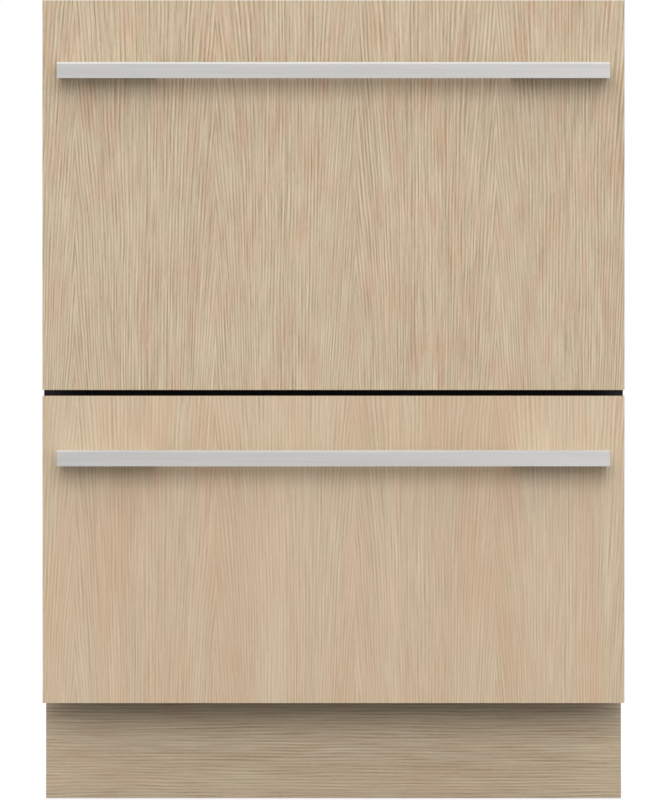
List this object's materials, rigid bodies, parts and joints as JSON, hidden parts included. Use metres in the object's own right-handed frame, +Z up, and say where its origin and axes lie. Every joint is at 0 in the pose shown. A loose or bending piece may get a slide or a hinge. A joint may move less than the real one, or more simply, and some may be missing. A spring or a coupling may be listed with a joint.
{
  "type": "double drawer dishwasher",
  "caption": "Built-in dishwasher whose two wash drawers with wooden fronts and flat bar handles slide out of one steel cabinet over a recessed wooden kick.",
  "frame": {"origin": "on the floor, in the middle of the object's outline", "axes": "+Z up, the fronts face -Y, +X to the right seen from the front"},
  "size_m": [0.599, 0.61, 0.822],
  "materials": {
    "oak_front": "vertical straight-grained oak veneer, matt lacquer",
    "oak_kick": "horizontal straight-grained oak veneer, matt lacquer",
    "handle_aluminium": "brushed along its length",
    "galvanised_sheet": "galvanised sheet",
    "black_rail": "black powder coat",
    "slide_steel": "zinc plated, rolled",
    "tub_plastic": "moulded polypropylene, fine grain",
    "door_plastic": "moulded, satin",
    "lid_plastic": "moulded, satin",
    "seal_rubber": "extruded",
    "wire_coat": "nylon coated wire",
    "basket_plastic": "moulded, satin",
    "arm_plastic": "moulded, satin",
    "key_plastic": "moulded, semi-gloss",
    "cap_plastic": "moulded, satin",
    "motor_plastic": "moulded, glass filled",
    "valve_plastic": "moulded nylon"
  },
  "bodies": {
    "cabinet": {"left_wall": "galvanised_sheet", "right_wall": "galvanised_sheet", "top_sheet": "galvanised_sheet", "rear_panel": "galvanised_sheet", "base_pan": "galvanised_sheet", "centre_rail": "black_rail", "kick_panel": "oak_kick", "inlet_valve": "valve_plastic", "upper_left_outer_slide": "slide_steel", "upper_right_outer_slide": "slide_steel", "lower_left_outer_slide": "slide_steel", "lower_right_outer_slide": "slide_steel"},
    "foot_front_left": {"foot_front_left": "motor_plastic"},
    "foot_front_right": {"foot_front_right": "motor_plastic"},
    "foot_rear_left": {"foot_rear_left": "motor_plastic"},
    "foot_rear_right": {"foot_rear_right": "motor_plastic"},
    "upper_drawer": {"upper_front_panel": "oak_front", "upper_handle": "handle_aluminium", "upper_door_housing": "door_plastic", "upper_tub": "tub_plastic", "upper_wash_motor": "motor_plastic", "upper_filter_plate": "arm_plastic", "upper_base_rack": "wire_coat", "upper_cutlery_basket": "basket_plastic", "upper_dispenser": "door_plastic", "upper_left_inner_slide": "slide_steel", "upper_right_inner_slide": "slide_steel"},
    "upper_lid": {"upper_lid": "lid_plastic", "upper_lid_seal": "seal_rubber"},
    "upper_left_middle_slide": {"upper_left_middle_slide": "slide_steel"},
    "upper_right_middle_slide": {"upper_right_middle_slide": "slide_steel"},
    "upper_power_key": {"upper_power_key": "key_plastic"},
    "upper_start_key": {"upper_start_key": "key_plastic"},
    "upper_detergent_lid": {"upper_detergent_lid": "arm_plastic"},
    "upper_rinse_cap": {"upper_rinse_cap": "cap_plastic"},
    "upper_folding_tines": {"upper_folding_tines": "wire_coat"},
    "upper_cup_rack": {"upper_cup_rack": "wire_coat"},
    "upper_spray_arm": {"upper_spray_arm": "arm_plastic"},
    "lower_drawer": {"lower_front_panel": "oak_front", "lower_handle": "handle_aluminium", "lower_door_housing": "door_plastic", "lower_tub": "tub_plastic", "lower_wash_motor": "motor_plastic", "lower_filter_plate": "arm_plastic", "lower_base_rack": "wire_coat", "lower_cutlery_basket": "basket_plastic", "lower_dispenser": "door_plastic", "lower_left_inner_slide": "slide_steel", "lower_right_inner_slide": "slide_steel"},
    "lower_lid": {"lower_lid": "lid_plastic", "lower_lid_seal": "seal_rubber"},
    "lower_left_middle_slide": {"lower_left_middle_slide": "slide_steel"},
    "lower_right_middle_slide": {"lower_right_middle_slide": "slide_steel"},
    "lower_power_key": {"lower_power_key": "key_plastic"},
    "lower_start_key": {"lower_start_key": "key_plastic"},
    "lower_detergent_lid": {"lower_detergent_lid": "arm_plastic"},
    "lower_rinse_cap": {"lower_rinse_cap": "cap_plastic"},
    "lower_folding_tines": {"lower_folding_tines": "wire_coat"},
    "lower_cup_rack": {"lower_cup_rack": "wire_coat"},
    "lower_spray_arm": {"lower_spray_arm": "arm_plastic"}
  },
  "joints": [
    {"name": "foot_front_left_height", "type": "slide", "parent": "cabinet", "child": "foot_front_left", "axis": [0, 0, -1], "range_m": [0, 0.06]},
    {"name": "foot_front_right_height", "type": "slide", "parent": "cabinet", "child": "foot_front_right", "axis": [0, 0, -1], "range_m": [0, 0.06]},
    {"name": "foot_rear_left_height", "type": "slide", "parent": "cabinet", "child": "foot_rear_left", "axis": [0, 0, -1], "range_m": [0, 0.06]},
    {"name": "foot_rear_right_height", "type": "slide", "parent": "cabinet", "child": "foot_rear_right", "axis": [0, 0, -1], "range_m": [0, 0.06]},
    {"name": "upper_drawer_travel", "type": "slide", "parent": "cabinet", "child": "upper_drawer", "axis": [0, -1, 0], "range_m": [0, 0.48]},
    {"name": "upper_left_slide_travel", "type": "slide", "parent": "cabinet", "child": "upper_left_middle_slide", "axis": [0, -1, 0], "range_m": [0, 0.24]},
    {"name": "upper_right_slide_travel", "type": "slide", "parent": "cabinet", "child": "upper_right_middle_slide", "axis": [0, -1, 0], "range_m": [0, 0.24]},
    {"name": "upper_lid_drop", "type": "slide", "parent": "cabinet", "child": "upper_lid", "axis": [0, 0, -1], "range_m": [0, 0.0072], "stiffness_N_per_m": 4000, "springref_m": -0.01},
    {"name": "upper_power_press", "type": "slide", "parent": "upper_drawer", "child": "upper_power_key", "axis": [0, 0, -1], "range_m": [0, 0.001], "stiffness_N_per_m": 2000, "springref_m": -0.0005},
    {"name": "upper_start_press", "type": "slide", "parent": "upper_drawer", "child": "upper_start_key", "axis": [0, 0, -1], "range_m": [0, 0.001], "stiffness_N_per_m": 2000, "springref_m": -0.0005},
    {"name": "upper_detergent_lid_hinge", "type": "hinge", "parent": "upper_drawer", "child": "upper_detergent_lid", "pos_m": [-0.027, -0.18385, 0.691], "axis": [-1, 0, 0], "range_deg": [0, 90]},
    {"name": "upper_rinse_cap_turn", "type": "hinge", "parent": "upper_drawer", "child": "upper_rinse_cap", "pos_m": [0.046, -0.1855, 0.713], "axis": [0, 1, 0], "range_deg": [0, 90]},
    {"name": "upper_tines_fold", "type": "hinge", "parent": "upper_drawer", "child": "upper_folding_tines", "pos_m": [0, 0.02, 0.557], "axis": [-1, 0, 0], "range_deg": [0, 85]},
    {"name": "upper_cup_rack_fold", "type": "hinge", "parent": "upper_drawer", "child": "upper_cup_rack", "pos_m": [-0.2462, 0.0325, 0.6898], "axis": [0, -1, 0], "range_deg": [0, 85]},
    {"name": "upper_spray_arm_spin", "type": "hinge", "parent": "upper_drawer", "child": "upper_spray_arm", "pos_m": [0, 0.028, 0.52], "axis": [0, 0, 1], "continuous": true},
    {"name": "lower_drawer_travel", "type": "slide", "parent": "cabinet", "child": "lower_drawer", "axis": [0, -1, 0], "range_m": [0, 0.48]},
    {"name": "lower_left_slide_travel", "type": "slide", "parent": "cabinet", "child": "lower_left_middle_slide", "axis": [0, -1, 0], "range_m": [0, 0.24]},
    {"name": "lower_right_slide_travel", "type": "slide", "parent": "cabinet", "child": "lower_right_middle_slide", "axis": [0, -1, 0], "range_m": [0, 0.24]},
    {"name": "lower_lid_drop", "type": "slide", "parent": "cabinet", "child": "lower_lid", "axis": [0, 0, -1], "range_m": [0, 0.0072], "stiffness_N_per_m": 4000, "springref_m": -0.01},
    {"name": "lower_power_press", "type": "slide", "parent": "lower_drawer", "child": "lower_power_key", "axis": [0, 0, -1], "range_m": [0, 0.001], "stiffness_N_per_m": 2000, "springref_m": -0.0005},
    {"name": "lower_start_press", "type": "slide", "parent": "lower_drawer", "child": "lower_start_key", "axis": [0, 0, -1], "range_m": [0, 0.001], "stiffness_N_per_m": 2000, "springref_m": -0.0005},
    {"name": "lower_detergent_lid_hinge", "type": "hinge", "parent": "lower_drawer", "child": "lower_detergent_lid", "pos_m": [-0.027, -0.18385, 0.296], "axis": [-1, 0, 0], "range_deg": [0, 90]},
    {"name": "lower_rinse_cap_turn", "type": "hinge", "parent": "lower_drawer", "child": "lower_rinse_cap", "pos_m": [0.046, -0.1855, 0.318], "axis": [0, 1, 0], "range_deg": [0, 90]},
    {"name": "lower_tines_fold", "type": "hinge", "parent": "lower_drawer", "child": "lower_folding_tines", "pos_m": [0, 0.02, 0.22], "axis": [-1, 0, 0], "range_deg": [0, 85]},
    {"name": "lower_cup_rack_fold", "type": "hinge", "parent": "lower_drawer", "child": "lower_cup_rack", "pos_m": [-0.2462, 0.0325, 0.3138], "axis": [0, -1, 0], "range_deg": [0, 85]},
    {"name": "lower_spray_arm_spin", "type": "hinge", "parent": "lower_drawer", "child": "lower_spray_arm", "pos_m": [0, 0.028, 0.183], "axis": [0, 0, 1], "continuous": true}
  ],
  "couplings": [
    {"joint": "upper_left_slide_travel", "follows": "upper_drawer_travel", "ratio": 0.5},
    {"joint": "upper_right_slide_travel", "follows": "upper_drawer_travel", "ratio": 0.5},
    {"joint": "lower_left_slide_travel", "follows": "lower_drawer_travel", "ratio": 0.5},
    {"joint": "lower_right_slide_travel", "follows": "lower_drawer_travel", "ratio": 0.5}
  ]
}
